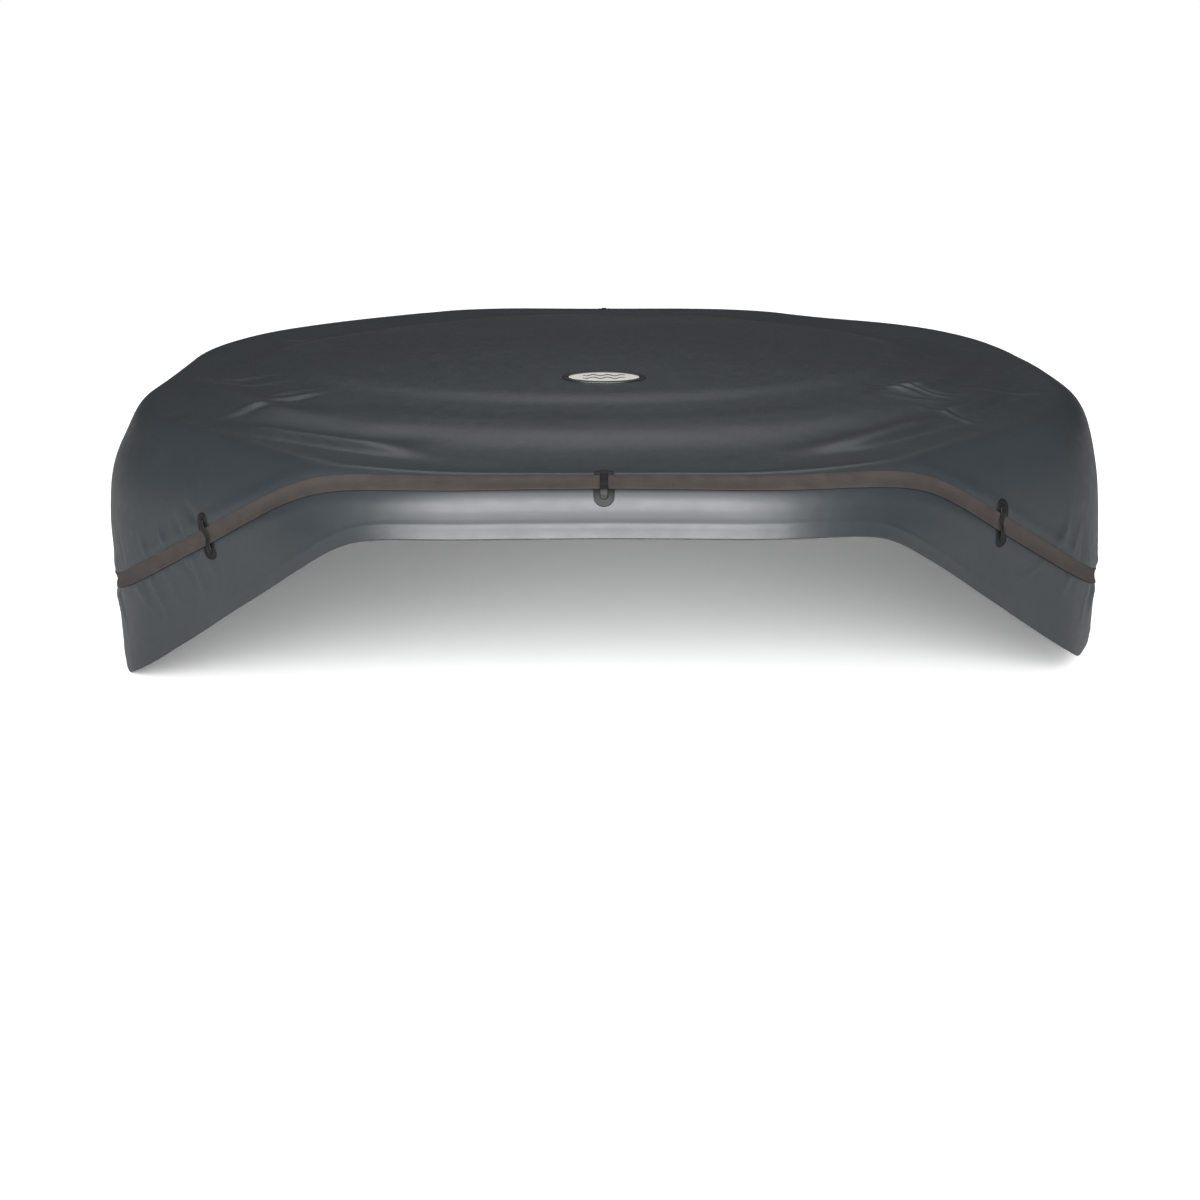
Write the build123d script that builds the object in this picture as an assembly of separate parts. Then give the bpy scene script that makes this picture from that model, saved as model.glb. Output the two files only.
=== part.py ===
"""Fitted soft cover for an octagonal inflatable spa, in the shape that it holds on the tub.

Origin: on the floor under the middle of the cover. +Z up, -Y towards the front. Millimetres.
The skin is a family of rounded-octagon rings: a shallow dome, an elliptical shoulder and an
upright skirt, so every layer on it is a slice between two offsets of the same surface.
"""
from build123d import *
import math
import os

# ---- plan and profile of the skin ----
APOTHEM = 1020.0          # centre to the middle of a side
CORNER_R = 505.0          # rounding of the eight corners
EDGE_Z = 545.0            # where the dome meets the shoulder
DOME_RISE = 60.0          # centre of the dome above that edge
DOME_POWER = 1.6          # how the dome falls away from its centre
SHOULDER_X = 80.0         # width of the elliptical shoulder
SHOULDER_Z = 176.0        # height of the elliptical shoulder
SKIN = 2.5                # laminated vinyl, with its foam backing
REST_Z = 535.0            # underside of the liner's field
SIDES = ("front", "front_right", "right", "back_right", "back", "back_left", "left", "front_left")

# ---- hem and belt, as heights that change across the width ----
HEM_TOP = 455.0           # front and back hem
HEM_LEFT = (436.0, 980.0)     # the hem falls from its top to the floor between these distances
HEM_RIGHT = (482.0, 1008.0)
HEM_ROUND = (400.0, 30.0)     # rounding at the top and at the foot of the fall
FLAP_RISE = 45.0              # the right flap hangs higher at its front end
FLAP_RISE_Y = (-430.0, -150.0)
BELT_TOP = 538.0          # belt on the front and back shoulder
BELT_LOW = 175.0          # belt on the side flaps
BELT_LEFT = (500.0, 998.0)
BELT_RIGHT = (550.0, 1010.0)
BELT_WIDTH = 30.0
SHOULDER_TILT = 20.0      # slope of the skin under the belt at the front
BELT_LIFT = (1.0, 2.6)    # inner and outer face of the belt above the skin

# ---- belt loops ----
PATCH_LENGTH = 89.0
PATCH_WIDTH = 38.0
PATCH_LIFT = (0.05, 0.8)
BRIDGE_LENGTH = 66.0
BRIDGE_WIDTH = 14.0
BRIDGE_FOOT = 8.0
BRIDGE_LIFT = (3.0, 5.0)
LOOP_LEAN = {"front_left": 27.0, "back_left": -27.0, "front_right": -6.0, "back_right": 29.0}

# ---- badge ----
BADGE_Y = -354.0
SURROUND = (168.0, 92.0)
PLATE = (142.0, 70.0)

# ---- bladder, valve and liner ----
LINER = 3.0
BORDER = 3.0              # the liner's doubled border, which lies on the tub's rim
BORDER_SPAN = (862.0, 945.0)
BLADDER_GAP = 1.1
BLADDER_SHEET = 0.8
BLADDER_FLOOR = 539.6
BEAM_THICK = 0.8
BEAM_PITCH = 300.0
BEAM_COUNT = 5
VALVE_AT = (-560.0, 600.0)
VALVE_FLANGE_R = 28.0
VALVE_NECK_R = 11.0
VALVE_BORE_R = 8.0
VALVE_TIP_Z = 529.0
CAP_R = 14.0
CAP_THICK = 4.0
CAP_HINGE_Y = 17.0

# ---- zip ----
ZIP_Y = 680.0
ZIP_HALF = 420.0
SLIDER_X = 396.0
TAPE_WIDTH = 11.5
TAPE_THICK = 0.8
TOOTH_ROW = 1.9
TOOTH_GAP = 1.2           # the slider's web runs between the two rows
TOOTH_THICK = 2.4
SLOT_WIDTH = 12.0

# ---- buckle, in its own frame: U down the belt, V across it, W out from the skirt ----
BUCKLE_HALF = 19.0
SOCKET_U = (74.0, 112.0)
SOCKET_W = (1.2, 11.6)
CAVITY_HALF = 16.5
CAVITY_W = (3.2, 9.4)
PLUG_W = (3.6, 9.0)
ARM_PIVOT = (115.0, 11.0)
BAR_R = 1.9
STRAP = 1.6
STRAP_HALF = 13.5
SOCKET_BAR = (62.0, 4.7)
PLUG_BAR = (142.0, 6.6)

FAR = 1400.0
CORNER = math.radians(22.5)

os.makedirs("parts", exist_ok=True)


def save(shape, name):
    """Write one node, named in the file as well."""
    shape.label = name
    export_step(shape, f"parts/{name}.step")


def octagon(apothem, corner_r, z):
    """A rounded octagon with a flat side facing the front."""
    plain = RegularPolygon(apothem, 8, major_radius=False, rotation=22.5)
    return Pos(0, 0, z) * fillet(plain.vertices(), corner_r)


def dome_point(share):
    """Apothem, height and outward normal on the dome, from its centre (0) to its edge (1)."""
    reach = APOTHEM - SHOULDER_X
    fall = DOME_RISE * DOME_POWER * share ** (DOME_POWER - 1) / reach
    size = math.hypot(fall, 1.0)
    return reach * share, EDGE_Z + DOME_RISE * (1 - share**DOME_POWER), fall / size, 1.0 / size


def shoulder_point(angle):
    """The same on the shoulder, from its top (0 degrees) to the wall (90 degrees)."""
    s, c = math.sin(math.radians(angle)), math.cos(math.radians(angle))
    size = math.hypot(s / SHOULDER_X, c / SHOULDER_Z)
    apothem = APOTHEM - SHOULDER_X * (1 - s)
    return apothem, EDGE_Z - SHOULDER_Z * (1 - c), s / SHOULDER_X / size, c / SHOULDER_Z / size


def envelope(lift):
    """The solid under the skin's outer face, grown by lift."""
    marks = [(dome_point(share), share) for share in (0.04, 0.2, 0.4, 0.6, 0.8, 0.94)]
    marks += [(shoulder_point(angle), 1.0) for angle in (7, 14, 22, 32, 44, 58, 73, 90)]
    rings = []
    for (apothem, z, out, up), share in marks:
        rings.append(octagon(apothem + lift * out, CORNER_R * share + lift * out, z + lift * up))
    rings.append(octagon(APOTHEM + lift, CORNER_R + lift, -30.0))
    return loft(rings, ruled=True)


def layer(inner, outer, region):
    """The slice of material between two lifts above the skin, inside a region."""
    return (region & envelope_at(outer)) - envelope_at(inner)


ENVELOPES = {}


def envelope_at(lift):
    if lift not in ENVELOPES:
        ENVELOPES[lift] = envelope(lift)
    return ENVELOPES[lift]


def slab(low, high):
    return Pos(0, 0, (low + high) / 2) * Box(2 * FAR, 2 * FAR, high - low)


def above_fall(top, low, left, right, rounding):
    """Everything above a line that is level at the front and back and falls towards both sides."""
    points = [
        (-FAR, low), (-left[1], low), (-left[0], top), (right[0], top), (right[1], low), (FAR, low),
        (FAR, FAR), (-FAR, FAR),
    ]
    outline = make_face(Polyline(*points, close=True))
    for corner_x, r in ((-left[0], 0), (right[0], 0), (-left[1], 1), (right[1], 1)):
        corner = outline.vertices().sort_by_distance(Vector(corner_x, low if r else top))[0]
        outline = fillet(corner, rounding[r])
    return Rot(90, 0, 0) * extrude(outline, FAR, both=True)


def side_frame(index):
    """Two level unit directions for a side: straight out of it, and along it."""
    angle = math.radians(45.0 * index)
    out = Vector(math.sin(angle), -math.cos(angle), 0)
    along = Vector(math.cos(angle), math.sin(angle), 0)
    return out, along


def belt_height(x):
    """Height of the belt's centre line at a distance across the width."""
    start, end = BELT_RIGHT if x > 0 else BELT_LEFT
    share = min(max((abs(x) - start) / (end - start), 0.0), 1.0)
    return BELT_TOP + (BELT_LOW - BELT_TOP) * share


def belt_band():
    """The strip that the belt covers, seen from the front and carried through the cover."""
    slopes = [(BELT_TOP - BELT_LOW) / (end - start) for start, end in (BELT_LEFT, BELT_RIGHT)]
    level = BELT_WIDTH / 2
    shallow = level * math.sin(math.radians(SHOULDER_TILT))
    edges = []
    for sign in (1, -1):
        ends = []
        for (start, end), slope in zip((BELT_LEFT, BELT_RIGHT), slopes):
            rise = level / math.cos(math.atan(slope * math.cos(math.radians(45))))
            ends.append((start + sign * (rise - shallow) / slope, end + sign * (rise - level) / slope))
        edges.append(
            above_fall(BELT_TOP + sign * shallow, BELT_LOW + sign * level, ends[0], ends[1], (380, 90))
        )
    return edges[1] - edges[0]


def above_hem(rise):
    """Everything above the hem's line, or above that line moved up."""
    near, far = FLAP_RISE_Y
    points = [(-FAR, -FAR), (far, -FAR), (far, rise), (near, FLAP_RISE + rise), (-FAR, FLAP_RISE + rise)]
    lifted = Plane.YZ * make_face(Polyline(*points, close=True))
    notch = Pos(800, 0, 0) * extrude(lifted, 600)
    return above_fall(HEM_TOP + rise, rise, HEM_LEFT, HEM_RIGHT, HEM_ROUND) - notch


# ---- skin ----
skin = layer(-SKIN, 0.0, above_hem(0.0))
save(skin & slab(REST_Z, FAR), "crown_panel")
skirt = skin & slab(-1, REST_Z)
for index, side in enumerate(SIDES):
    middle = math.radians(45.0 * index - 90.0)
    reach = FAR / math.cos(CORNER)
    corners = [
        (reach * math.cos(middle + turn), reach * math.sin(middle + turn)) for turn in (-CORNER, CORNER)
    ]
    wedge = extrude(make_face(Polyline((0, 0), *corners, close=True)), 2 * FAR, both=True)
    save(skirt & wedge, f"skirt_{side}")

# ---- hem facing and corner tapes, inside the skirt ----
facing_zone = above_hem(0.6) - above_hem(25.0)
save(layer(-SKIN - 1.4, -SKIN - 0.3, facing_zone), "hem_facing")
tape_zone = Part()
for index in range(4):
    tape_zone += Rot(0, 0, 45.0 * index) * (Rot(0, 0, 22.5) * Box(2 * FAR, 22.0, 4 * FAR))
tapes = layer(-SKIN - 1.0, -SKIN - 0.3, tape_zone & above_hem(27.0) & slab(0, REST_Z - 2))
save(tapes, "corner_seam_tapes")

# ---- liner, with the zip's slot and the hole for the valve ----
liner = slab(REST_Z, REST_Z + LINER) & envelope_at(-SKIN - 0.2)
liner -= Pos(0, ZIP_Y, REST_Z) * Box(2 * ZIP_HALF + 12, SLOT_WIDTH, 20)
liner -= Pos(*VALVE_AT, REST_Z) * Cylinder(VALVE_FLANGE_R + 6, 20)
inner_border, outer_border = [
    extrude(octagon(span, CORNER_R - APOTHEM + span, REST_Z - BORDER), BORDER) for span in BORDER_SPAN
]
liner += outer_border - inner_border
save(liner, "liner")

# ---- bladder ----
bladder_top = -SKIN - BLADDER_GAP
sheet_z = BLADDER_FLOOR + BLADDER_SHEET
save(layer(bladder_top - BLADDER_SHEET, bladder_top, slab(sheet_z + 0.05, FAR)), "bladder_upper_sheet")
lower_sheet = slab(BLADDER_FLOOR, sheet_z) & envelope_at(bladder_top)
lower_sheet -= Pos(*VALVE_AT, sheet_z) * Cylinder(VALVE_BORE_R, 20)
save(lower_sheet, "bladder_lower_sheet")
beam_room = slab(sheet_z + 0.1, FAR) & envelope_at(bladder_top - BLADDER_SHEET - 0.1)
for index in range(BEAM_COUNT):
    x = (index - (BEAM_COUNT - 1) / 2) * BEAM_PITCH
    save(beam_room & (Pos(x, 0, 0) * Box(BEAM_THICK, 1400, 4 * FAR)), f"bladder_beam_{index + 1}")

# ---- valve, reached through the hole in the liner ----
valve = Pos(*VALVE_AT, 0)
flange_z = BLADDER_FLOOR - 1.6
body = Pos(0, 0, (flange_z + BLADDER_FLOOR - 0.1) / 2) * Cylinder(VALVE_FLANGE_R, 1.5)
body += Pos(0, 0, (VALVE_TIP_Z + flange_z) / 2) * Cylinder(VALVE_NECK_R, flange_z - VALVE_TIP_Z)
for side in (-1, 1):
    body += Pos(side * 5.5, 14.5, VALVE_TIP_Z + 3.2) * Box(3, 10, 6)
    body += Pos(side * 5.5, CAP_HINGE_Y, VALVE_TIP_Z - 1.0) * Rot(0, 90, 0) * Cylinder(2.4, 3)
body -= Pos(0, 0, BLADDER_FLOOR) * Cylinder(VALVE_BORE_R, 40)
hinge_axis = Pos(0, CAP_HINGE_Y, VALVE_TIP_Z - 1.0) * Rot(0, 90, 0)
body += hinge_axis * Cylinder(1.0, 12)
save(valve * body, "valve_body")
cap = Pos(0, 0, VALVE_TIP_Z - 0.6 - CAP_THICK / 2) * Cylinder(CAP_R, CAP_THICK)
cap += Pos(0, -CAP_R, VALVE_TIP_Z - 1.6 - CAP_THICK / 2) * Box(12, 10, 2)
cap += Pos(0, CAP_HINGE_Y - 3, VALVE_TIP_Z - 2.6) * Box(7.4, 6, 3)
cap += hinge_axis * Cylinder(2.4, 7.4)
cap -= hinge_axis * Cylinder(1.08, 20)
save(valve * cap, "valve_cap")
seal = Pos(0, 0, VALVE_TIP_Z - 0.3) * (Cylinder(10.4, 0.5) - Cylinder(8.6, 0.5))
save(valve * seal, "valve_seal")

# ---- zip across the back of the underside ----
row_y = TOOTH_GAP / 2 + TOOTH_ROW / 2
tape_y = TOOTH_GAP / 2 + TOOTH_ROW + TAPE_WIDTH / 2
for name, side in (("front", -1), ("rear", 1)):
    teeth = Pos(0, ZIP_Y + side * row_y, REST_Z - TAPE_THICK / 2)
    save(teeth * Box(2 * ZIP_HALF, TOOTH_ROW, TOOTH_THICK), f"zip_teeth_{name}")
    tape = Pos(0, ZIP_Y + side * tape_y, REST_Z - TAPE_THICK / 2)
    save(tape * Box(2 * ZIP_HALF + 30, TAPE_WIDTH, TAPE_THICK), f"zip_tape_{name}")
stops = Part()
for x in (-ZIP_HALF - 2.2, ZIP_HALF + 2.2):
    stops += Pos(x, ZIP_Y, REST_Z - TAPE_THICK / 2) * Box(4, 2 * (tape_y - TAPE_WIDTH / 2), 3)
save(stops, "zip_end_stops")

slider_z = REST_Z - TAPE_THICK / 2
plate_gap = TOOTH_THICK / 2 + 0.35
slider = Part()
for side in (-1, 1):
    slider += Pos(0, 0, side * (plate_gap + 0.7)) * Box(14, 11, 1.4)
    for y in (-1, 1):
        slider += Pos(0, y * 4.85, side * (plate_gap / 2 + 0.4)) * Box(14, 1.3, plate_gap - 0.8 + 0.1)
slider += Box(4, 0.6, 2 * plate_gap + 1)
pin_drop = plate_gap + 1.4 + 2.6
for y in (-1, 1):
    slider += Pos(0, y * 2.9, -pin_drop + 1.3) * Box(4, 1.4, 3.0)
    slider += Pos(0, y * 2.9, -pin_drop) * Rot(90, 0, 0) * Cylinder(2.0, 1.4)
slider += Pos(0, 0, -pin_drop) * Rot(90, 0, 0) * Cylinder(0.8, 6)
save(Pos(SLIDER_X, ZIP_Y, slider_z) * slider, "zip_slider")
pull = Rot(90, 0, 0) * Cylinder(1.9, 3.6)
pull += Pos(0, 0, -9) * Box(1.8, 3.6, 18)
pull += Pos(0, 0, -26) * Box(2.4, 9, 18)
pull = fillet(pull.edges().filter_by(Axis.X).group_by(Axis.Z)[0], 3.0)
pull -= Rot(90, 0, 0) * Cylinder(0.88, 20)
pull -= Pos(0, 0, -29) * Box(10, 4, 6)
save(Pos(SLIDER_X, ZIP_Y, slider_z - pin_drop) * pull, "zip_pull")

# ---- buckle on the back right side, below its belt loop ----
out, along = side_frame(3)
loop_x = APOTHEM * math.sin(math.radians(135.0))
buckle_slope = (BELT_TOP - BELT_LOW) / (BELT_RIGHT[1] - BELT_RIGHT[0])
fall = buckle_slope * math.cos(math.radians(45.0))
down_belt = Vector(-along.X, -along.Y, -fall).normalized()
buckle_frame = Plane(
    origin=Vector(out.X * APOTHEM, out.Y * APOTHEM, belt_height(loop_x)), x_dir=down_belt, z_dir=out
)


def block(u, v, w):
    """A block between two stations each way in the buckle's frame."""
    mid = [(a + b) / 2 for a, b in (u, v, w)]
    return Pos(*mid) * Box(u[1] - u[0], v[1] - v[0], w[1] - w[0])


def cross_bar(at):
    return Pos(at[0], 0, at[1]) * Rot(90, 0, 0) * Cylinder(BAR_R, 2 * BUCKLE_HALF - 4)


def strap(points, thick, half):
    """Webbing with its inner face along a route of (U, W) points and its other face to the left."""
    other = []
    for index, (u, w) in enumerate(points):
        before = points[max(index - 1, 0)]
        after = points[min(index + 1, len(points) - 1)]
        du, dw = after[0] - before[0], after[1] - before[1]
        size = math.hypot(du, dw)
        other.append((u - dw / size * thick, w + du / size * thick))
    side_view = make_face(Polyline(*points, *reversed(other), close=True))
    return Rot(90, 0, 0) * extrude(side_view, half, both=True)


def turn_round(bar, side):
    """The inside of webbing turned round a bar from below it to above it, past one side of it."""
    radius = BAR_R + 0.2
    angles = [math.radians(angle) for angle in range(0, 181, 30)]
    return [(bar[0] + side * radius * math.sin(a), bar[1] - radius * math.cos(a)) for a in angles]


cavity = block((SOCKET_U[0] + 6, SOCKET_U[1] + 1), (-CAVITY_HALF, CAVITY_HALF), CAVITY_W)
socket = block(SOCKET_U, (-BUCKLE_HALF, BUCKLE_HALF), SOCKET_W)
socket = fillet(socket.edges().filter_by(Axis.Z), 3.0) - cavity
socket -= block((84, 102), (-BUCKLE_HALF - 1, BUCKLE_HALF + 1), CAVITY_W)
for side in (-1, 1):
    socket += block((59, 75), sorted((side * 15, side * BUCKLE_HALF)), (2.6, 8.4))
socket += cross_bar(SOCKET_BAR)
save(buckle_frame * socket, "buckle_socket")
socket_route = turn_round(SOCKET_BAR, 1) + [(44, 2.75), (27, 2.75)]
save(buckle_frame * strap(socket_route, -STRAP, STRAP_HALF), "belt_socket_end")

plug = block((112.4, 130), (-BUCKLE_HALF, BUCKLE_HALF), PLUG_W)
plug += block((84, 113), (-2.6, 2.6), PLUG_W)
plug += block((105, 113), (-5, 5), PLUG_W)
for side in (-1, 1):
    plug += block((129, 147), sorted((side * 15, side * BUCKLE_HALF)), PLUG_W)
    pivot = Pos(ARM_PIVOT[0], side * ARM_PIVOT[1], sum(PLUG_W) / 2)
    plug -= pivot * Cylinder(3.3, 40)
    plug -= block((100, ARM_PIVOT[0]), sorted((side * 7.2, side * 16.8)), (0, 20))
    plug += pivot * Cylinder(1.2, PLUG_W[1] - PLUG_W[0])
plug += cross_bar(PLUG_BAR)
for side in (-1, 1):
    pivot_low = Pos(ARM_PIVOT[0], side * ARM_PIVOT[1], PLUG_W[0] + 0.5)
    plug += pivot_low * Cylinder(4.0, 1.0)
save(buckle_frame * plug, "buckle_plug")
for name, side in (("lower", 1), ("upper", -1)):
    arm = block((92, ARM_PIVOT[0]), sorted((side * 9.0, side * 13.0)), (PLUG_W[0] + 1.3, PLUG_W[1]))
    arm += block((86, 101), sorted((side * 9.0, side * 16.1)), (PLUG_W[0] + 1.3, PLUG_W[1]))
    arm = fillet(arm.edges().filter_by(Axis.Z), 0.8)
    pivot = Pos(ARM_PIVOT[0], side * ARM_PIVOT[1], (PLUG_W[0] + 1.3 + PLUG_W[1]) / 2)
    arm += pivot * Cylinder(3.0, PLUG_W[1] - PLUG_W[0] - 1.3)
    arm -= pivot * Cylinder(1.28, 20)
    save(buckle_frame * arm, f"buckle_arm_{name}")
under_plug = PLUG_BAR[1] - BAR_R - 0.2
plug_route = [(185, under_plug)] + turn_round(PLUG_BAR, -1) + [(162, under_plug + 0.15)]
plug_route.append((185, under_plug + 0.15))
save(buckle_frame * strap(plug_route, STRAP, STRAP_HALF), "belt_plug_end")

# ---- belt and its loops ----
belt = layer(BELT_LIFT[0], BELT_LIFT[1], belt_band())
belt -= buckle_frame * block((SOCKET_BAR[0], 150), (-60, 60), (-30, 60))
save(belt, "belt")
for index, side in enumerate(SIDES):
    out, along = side_frame(index)
    if side in ("front", "back"):
        inset = SHOULDER_X * (1 - math.sin(math.radians(11.5)))
        seat = Pos(0, out.Y * (APOTHEM - inset), EDGE_Z)
    else:
        seat = Plane(
            origin=Vector(out.X * APOTHEM, out.Y * APOTHEM, belt_height(out.X * APOTHEM)),
            x_dir=along,
            z_dir=out,
        )
    turn = 90.0 + LOOP_LEAN.get(side, 0.0)
    oval = seat * extrude(SlotOverall(PATCH_LENGTH, PATCH_WIDTH, rotation=turn), 90, both=True)
    run = seat * extrude(Rectangle(BRIDGE_LENGTH, BRIDGE_WIDTH, rotation=turn), 90, both=True)
    open_part = Rectangle(BRIDGE_LENGTH - 2 * BRIDGE_FOOT, BRIDGE_WIDTH + 9, rotation=turn)
    patch = layer(*PATCH_LIFT, oval)
    bridge = layer(*BRIDGE_LIFT, run)
    feet = layer(PATCH_LIFT[1], BRIDGE_LIFT[0], run - seat * extrude(open_part, 90, both=True))
    save(patch, f"loop_patch_{side}")
    save(bridge + feet, f"loop_bridge_{side}")

# ---- badge on the crown ----
badge = Pos(0, BADGE_Y, EDGE_Z)
whole = badge * extrude(Ellipse(SURROUND[0] / 2, SURROUND[1] / 2), 200, both=True)
window = badge * extrude(Ellipse(PLATE[0] / 2 + 0.3, PLATE[1] / 2 + 0.3), 200, both=True)
face = badge * extrude(Ellipse(PLATE[0] / 2, PLATE[1] / 2), 200, both=True)
save(layer(0.05, 1.0, whole) + layer(1.0, 2.6, whole - window), "badge_surround")
save(layer(1.05, 2.2, face), "badge_plate")
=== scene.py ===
"""Looks of a fitted spa cover: coated vinyl skin with its folds, webbing belt, loops, badge,
zip, liner and bladder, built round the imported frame. Metres, in the frame's own axes."""
import math

import bpy
import bmesh
import numpy as np
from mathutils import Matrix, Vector

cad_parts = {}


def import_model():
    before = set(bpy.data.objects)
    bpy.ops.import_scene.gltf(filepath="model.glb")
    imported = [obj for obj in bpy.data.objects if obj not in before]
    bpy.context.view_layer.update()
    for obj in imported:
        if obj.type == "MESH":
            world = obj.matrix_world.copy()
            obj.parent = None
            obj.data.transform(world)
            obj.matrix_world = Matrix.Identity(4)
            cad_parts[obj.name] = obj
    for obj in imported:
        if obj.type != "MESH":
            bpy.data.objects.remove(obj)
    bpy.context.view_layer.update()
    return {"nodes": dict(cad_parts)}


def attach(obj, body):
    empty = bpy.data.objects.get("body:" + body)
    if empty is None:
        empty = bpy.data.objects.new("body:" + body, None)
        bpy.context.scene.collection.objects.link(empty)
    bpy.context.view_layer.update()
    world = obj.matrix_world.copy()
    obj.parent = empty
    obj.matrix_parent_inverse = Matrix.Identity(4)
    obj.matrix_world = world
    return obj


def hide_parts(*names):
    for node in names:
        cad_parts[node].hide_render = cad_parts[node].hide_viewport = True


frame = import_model()

# ---- the skin's plan and profile, as the frame has them ----
APOTHEM = 1.020
CORNER_R = 0.505
EDGE_Z = 0.545
DOME_RISE = 0.060
DOME_POWER = 1.6
SHOULDER_X = 0.080
SHOULDER_Z = 0.176
REACH = APOTHEM - SHOULDER_X
REST_Z = 0.535
LINER_TOP = 0.538
SKIN = 0.0024
SKIN_LOW = 0.5438         # the skin's outer face never sinks below this on the crown
OCTANT = math.pi / 4

# ---- hem and belt heights ----
HEM_TOP, HEM_LEFT, HEM_RIGHT = 0.455, (0.428, 0.962), (0.482, 1.000)
HEM_SOFT = 0.061
FLAP_RISE, FLAP_RISE_Y = 0.045, (-0.430, -0.150)
BELT_TOP, BELT_LOW, BELT_LEFT, BELT_RIGHT = 0.538, 0.175, (0.500, 0.998), (0.550, 1.010)
BELT_SOFT = 0.085
BELT_WIDTH = 0.030

SIDES = ("front", "front_right", "right", "back_right",
         "back", "back_left", "left", "front_left")
LOOP_LEAN = {"front_left": 27.0, "back_left": -27.0, "front_right": -6.0, "back_right": 29.0}


# ---- the skin as a function ----
def ring_radius(turn, apothem, corner):
    """Distance from the centre to a rounded octagon, at angles from the front."""
    part = np.abs((turn + OCTANT / 2) % OCTANT - OCTANT / 2)
    inner = apothem - corner
    meet = np.arctan2(inner * math.tan(OCTANT / 2), apothem)
    to_corner = OCTANT / 2 - part
    hub = inner / math.cos(OCTANT / 2)
    across = hub * np.sin(to_corner)
    arc = hub * np.cos(to_corner) + np.sqrt(np.maximum(corner**2 - across**2, 0))
    return np.where(part <= meet, apothem / np.cos(part), arc)


def ring_facing(turn, apothem, corner):
    """The plan angle that a rounded octagon's outline faces."""
    middle = np.round(turn / OCTANT) * OCTANT
    part = turn - middle
    radius = ring_radius(turn, apothem, corner)
    over = np.abs(radius * np.sin(part)) - (apothem - corner) * math.tan(OCTANT / 2)
    bend = np.arcsin(np.clip(over / np.maximum(corner, 1e-9), 0, math.sin(OCTANT / 2)))
    return middle + np.sign(part) * bend


ARC_ANGLES = np.linspace(0, math.pi / 2, 400)
ARC_LINE = np.stack([SHOULDER_X * np.sin(ARC_ANGLES), -SHOULDER_Z * (1 - np.cos(ARC_ANGLES))], 1)
ARC_RUN = np.concatenate([[0], np.cumsum(np.linalg.norm(np.diff(ARC_LINE, axis=0), axis=1))])
SHOULDER_RUN = float(ARC_RUN[-1])


def base(turn, down):
    """Point and outward normal of the smooth skin. down is the run over the skin from the dome's
    edge: below 0 on the dome, and above 0 over the shoulder and down the wall."""
    turn, down = np.broadcast_arrays(np.asarray(turn, float), np.asarray(down, float))
    share = np.clip(1 + down / REACH, 1e-4, 1)
    bend = np.interp(down, ARC_RUN, ARC_ANGLES)
    wall = np.maximum(down - SHOULDER_RUN, 0)
    on_dome = down < 0
    apothem = np.where(on_dome, REACH * share, REACH + SHOULDER_X * np.sin(bend))
    z = np.where(
        on_dome,
        EDGE_Z + DOME_RISE * (1 - share**DOME_POWER),
        EDGE_Z - SHOULDER_Z * (1 - np.cos(bend)) - wall,
    )
    slope = DOME_RISE * DOME_POWER * share ** (DOME_POWER - 1) / REACH
    out = np.where(on_dome, slope, np.sin(bend) / SHOULDER_X * SHOULDER_Z)
    up = np.where(on_dome, 1.0, np.cos(bend))
    size = np.hypot(out, up)
    corner = CORNER_R * share
    radius = ring_radius(turn, apothem, corner)
    facing = ring_facing(turn, apothem, corner)
    point = np.stack([radius * np.sin(turn), -radius * np.cos(turn), z], -1)
    normal = np.stack([out * np.sin(facing), -out * np.cos(facing), up], -1) / size[..., None]
    return point, normal


def smooth_step(x, centre, half):
    t = np.clip((x - centre) / (2 * half) + 0.5, 0, 1)
    return t * t * (3 - 2 * t)


def bump(x, centre, half):
    return np.exp(-(((x - centre) / half) ** 2))


def soft_ramp(distance, softness):
    return (distance + np.sqrt(distance**2 + softness**2)) / 2


def falling_line(x, top, low, left, right, softness):
    """A height that is level across the middle and falls towards both sides."""
    start = np.where(x < 0, left[0], right[0])
    end = np.where(x < 0, left[1], right[1])
    slope = (top - low) / (end - start)
    return np.maximum(top - slope * soft_ramp(np.abs(x) - start, softness), low)


def hem_height(x, y):
    line = falling_line(x, HEM_TOP, 0.0, HEM_LEFT, HEM_RIGHT, HEM_SOFT)
    near, far = FLAP_RISE_Y
    share = np.clip((far - y) / (far - near), 0, 1)
    lift = FLAP_RISE * share * share * (3 - 2 * share)
    return np.where((x > 0.8) & (y < far), np.maximum(line, lift), line)


def belt_height(x, y):
    return falling_line(x, BELT_TOP, BELT_LOW, BELT_LEFT, BELT_RIGHT, BELT_SOFT)


TURNS = np.linspace(-math.pi, math.pi, 1441)


def run_to(height, low_limit):
    """For every turn, the run down the skin at which it reaches a height line."""
    runs = np.linspace(0.0, low_limit, 700)
    point, _ = base(TURNS[:, None], runs[None, :])
    over = point[..., 2] - height(point[..., 0], point[..., 1])
    below = over <= 1e-9
    first = np.where(below.any(1), np.maximum(below.argmax(1), 1), len(runs) - 1)
    line = np.arange(len(TURNS))
    before, after = over[line, first - 1], over[line, first]
    part = np.clip(before / np.maximum(before - after, 1e-12), 0, 1)
    return runs[first - 1] + part * (runs[first] - runs[first - 1])


def smoothed(values, width):
    """A running mean round the ring, which hides the steps of the search."""
    ring = values[:-1]
    kernel = np.hanning(2 * width + 1)
    kernel /= kernel.sum()
    wide = np.concatenate([ring[-width:], ring, ring[:width]])
    out = np.convolve(wide, kernel, "valid")
    return np.concatenate([out, out[:1]])


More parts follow.
